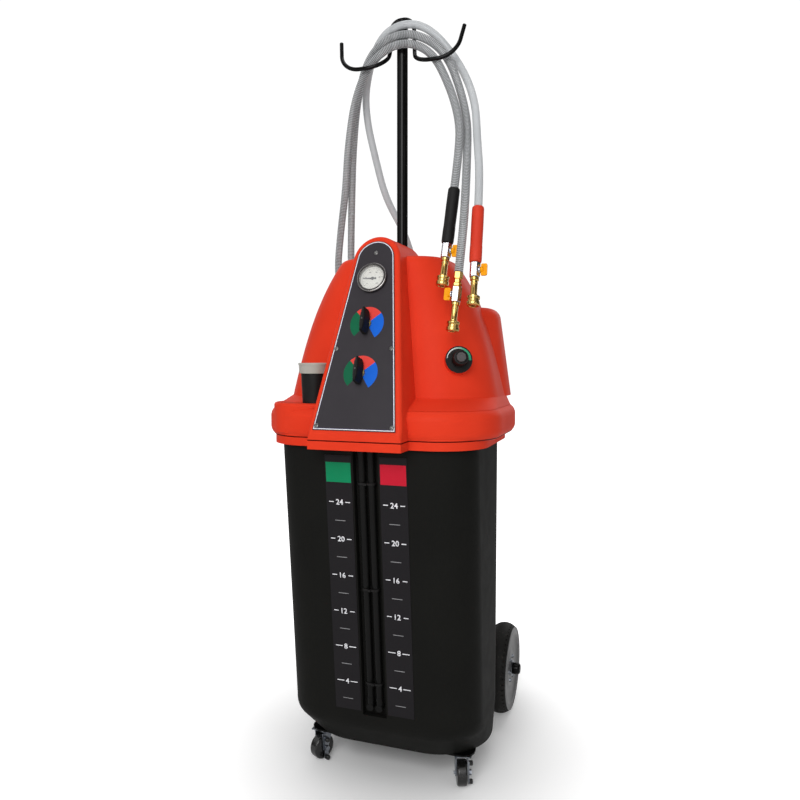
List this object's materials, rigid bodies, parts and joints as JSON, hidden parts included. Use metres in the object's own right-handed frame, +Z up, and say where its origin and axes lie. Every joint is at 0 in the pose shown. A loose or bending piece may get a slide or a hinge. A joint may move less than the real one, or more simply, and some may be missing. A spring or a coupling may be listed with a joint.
{
  "type": "coolant service machine",
  "caption": "Wheeled coolant service machine: twin moulded tank, cover with control console, mast with hose hooks, service hoses with valves and quick couplers.",
  "frame": {"origin": "on the floor, under the middle of the machine's length and width", "axes": "+Z up, -Y to the front where the console faces, +X to the machine's right"},
  "size_m": [0.456, 0.6142, 1.5061],
  "materials": {
    "cover": "smooth moulded",
    "tank": "moulded, slight sheen",
    "panel": "satin",
    "screw": "zinc",
    "bezel": "polished",
    "dial": "printed",
    "pointer": "matte",
    "lens": "clear",
    "brass": "satin",
    "aluminium": "cast",
    "knob": "moulded",
    "black_plastic": "moulded",
    "cap": "moulded",
    "black_steel": "powder coated",
    "zinc": "zinc plated",
    "rim": "moulded",
    "tyre": "rubber",
    "caster_rubber": "rubber",
    "clear_tube": "translucent",
    "hose": "clear, wire reinforced",
    "slim_hose": "clear, smooth",
    "strip": "printed film",
    "tie": "nylon",
    "black_grip": "soft grip",
    "red_grip": "soft grip",
    "chrome": "nickel plated",
    "yellow": "painted",
    "pvc": "moulded"
  },
  "bodies": {
    "machine": {"tank": "tank", "top_cover": "cover", "control_panel": "panel", "panel_screws": "screw", "gauge_case": "bezel", "gauge_dial": "dial", "gauge_lens": "lens", "upper_selector_valve": "brass", "lower_selector_valve": "brass", "pressure_regulator": "aluminium", "fill_neck": "black_plastic", "mast_socket": "black_steel", "mast": "black_steel", "hose_hook": "black_steel", "rear_axle": "zinc", "hub_caps": "rim", "axle_bracket": "black_steel", "front_crossbar": "black_steel", "caster_plates": "zinc", "level_tubes": "clear_tube", "level_elbows": "brass", "cable_ties": "tie", "scale_strips": "strip", "air_pump": "aluminium", "dip_tubes": "pvc", "hose_bulkheads": "brass", "air_inlet": "brass", "inner_hose": "hose", "middle_hose": "hose", "outer_hose": "slim_hose", "black_grip": "black_grip", "red_grip": "red_grip", "hose_nut": "brass", "ball_valves": "chrome", "couplers": "brass"},
    "right_wheel": {"right_wheel_rim": "rim", "right_tyre": "tyre"},
    "left_wheel": {"left_wheel_rim": "rim", "left_tyre": "tyre"},
    "right_swivel": {"right_caster_fork": "zinc"},
    "left_swivel": {"left_caster_fork": "zinc"},
    "right_roller": {"right_caster_wheel": "caster_rubber"},
    "left_roller": {"left_caster_wheel": "caster_rubber"},
    "right_brake": {"right_caster_brake": "zinc"},
    "left_brake": {"left_caster_brake": "zinc"},
    "upper_knob": {"upper_selector_knob": "knob"},
    "lower_knob": {"lower_selector_knob": "knob"},
    "needle": {"gauge_needle": "pointer"},
    "regulator_knob": {"pressure_knob": "knob"},
    "cap": {"fill_cap": "cap"},
    "inner_handle": {"inner_valve_handle": "yellow"},
    "middle_handle": {"middle_valve_handle": "yellow"},
    "outer_handle": {"outer_valve_handle": "yellow"},
    "inner_collar": {"inner_coupler_collar": "brass"},
    "middle_collar": {"middle_coupler_collar": "brass"},
    "outer_collar": {"outer_coupler_collar": "brass"}
  },
  "joints": [
    {"name": "right_wheel_turn", "type": "hinge", "parent": "machine", "child": "right_wheel", "pos_m": [0.165, 0.205, 0.1016], "axis": [1, 0, 0], "continuous": true},
    {"name": "left_wheel_turn", "type": "hinge", "parent": "machine", "child": "left_wheel", "pos_m": [-0.165, 0.205, 0.1016], "axis": [1, 0, 0], "continuous": true},
    {"name": "right_caster_swivel", "type": "hinge", "parent": "machine", "child": "right_swivel", "pos_m": [0.143, -0.108, 0.05], "axis": [0, 0, 1], "continuous": true},
    {"name": "left_caster_swivel", "type": "hinge", "parent": "machine", "child": "left_swivel", "pos_m": [-0.143, -0.108, 0.05], "axis": [0, 0, 1], "continuous": true},
    {"name": "right_caster_turn", "type": "hinge", "parent": "right_swivel", "child": "right_roller", "pos_m": [0.14847, -0.12304, 0.0245], "axis": [0.9397, 0.342, 0], "continuous": true},
    {"name": "left_caster_turn", "type": "hinge", "parent": "left_swivel", "child": "left_roller", "pos_m": [-0.14976, -0.1225, 0.0245], "axis": [0.9063, -0.4226, 0], "continuous": true},
    {"name": "right_brake_rock", "type": "hinge", "parent": "right_swivel", "child": "right_brake", "pos_m": [0.14847, -0.12304, 0.0245], "axis": [0.9397, 0.342, 0], "range_deg": [-15, 15]},
    {"name": "left_brake_rock", "type": "hinge", "parent": "left_swivel", "child": "left_brake", "pos_m": [-0.14976, -0.1225, 0.0245], "axis": [0.9063, -0.4226, 0], "range_deg": [-15, 15]},
    {"name": "upper_selector_turn", "type": "hinge", "parent": "machine", "child": "upper_knob", "pos_m": [0, -0.25, 0.89288], "axis": [0, -0.9421, 0.3355], "range_deg": [-90, 90]},
    {"name": "lower_selector_turn", "type": "hinge", "parent": "machine", "child": "lower_knob", "pos_m": [0, -0.2812, 0.80527], "axis": [0, -0.9421, 0.3355], "range_deg": [-90, 90]},
    {"name": "gauge_needle_turn", "type": "hinge", "parent": "machine", "child": "needle", "pos_m": [0, -0.21292, 0.97256], "axis": [0, -0.9421, 0.3355], "range_deg": [-225, 45], "stiffness_Nm_per_rad": 0.001},
    {"name": "pressure_knob_turn", "type": "hinge", "parent": "machine", "child": "regulator_knob", "pos_m": [0.155, -0.185, 0.825], "axis": [0.4006, -0.8997, 0.1736], "range_deg": [-150, 150]},
    {"name": "fill_cap_lift", "type": "slide", "parent": "machine", "child": "cap", "axis": [0, 0, 1], "range_m": [0, 0.06]},
    {"name": "inner_valve_turn", "type": "hinge", "parent": "machine", "child": "inner_handle", "pos_m": [0.1306, -0.18282, 1.01972], "axis": [0.9985, 0, -0.0555], "range_deg": [0, 90]},
    {"name": "middle_valve_turn", "type": "hinge", "parent": "machine", "child": "middle_handle", "pos_m": [0.15522, -0.20556, 0.93949], "axis": [-0.9975, 0, 0.0702], "range_deg": [0, 90]},
    {"name": "outer_valve_turn", "type": "hinge", "parent": "machine", "child": "outer_handle", "pos_m": [0.18592, -0.19466, 0.98203], "axis": [0.9999, 0, 0.0167], "range_deg": [0, 90]},
    {"name": "inner_collar_pull", "type": "slide", "parent": "machine", "child": "inner_collar", "axis": [0.0538, 0.2422, 0.9687], "range_m": [0, 0.004], "stiffness_N_per_m": 400, "springref_m": -0.002},
    {"name": "middle_collar_pull", "type": "slide", "parent": "machine", "child": "middle_collar", "axis": [0.0696, 0.1391, 0.9878], "range_m": [0, 0.004], "stiffness_N_per_m": 400, "springref_m": -0.002},
    {"name": "outer_collar_pull", "type": "slide", "parent": "machine", "child": "outer_collar", "axis": [-0.0161, 0.2576, 0.9661], "range_m": [0, 0.004], "stiffness_N_per_m": 400, "springref_m": -0.002}
  ]
}
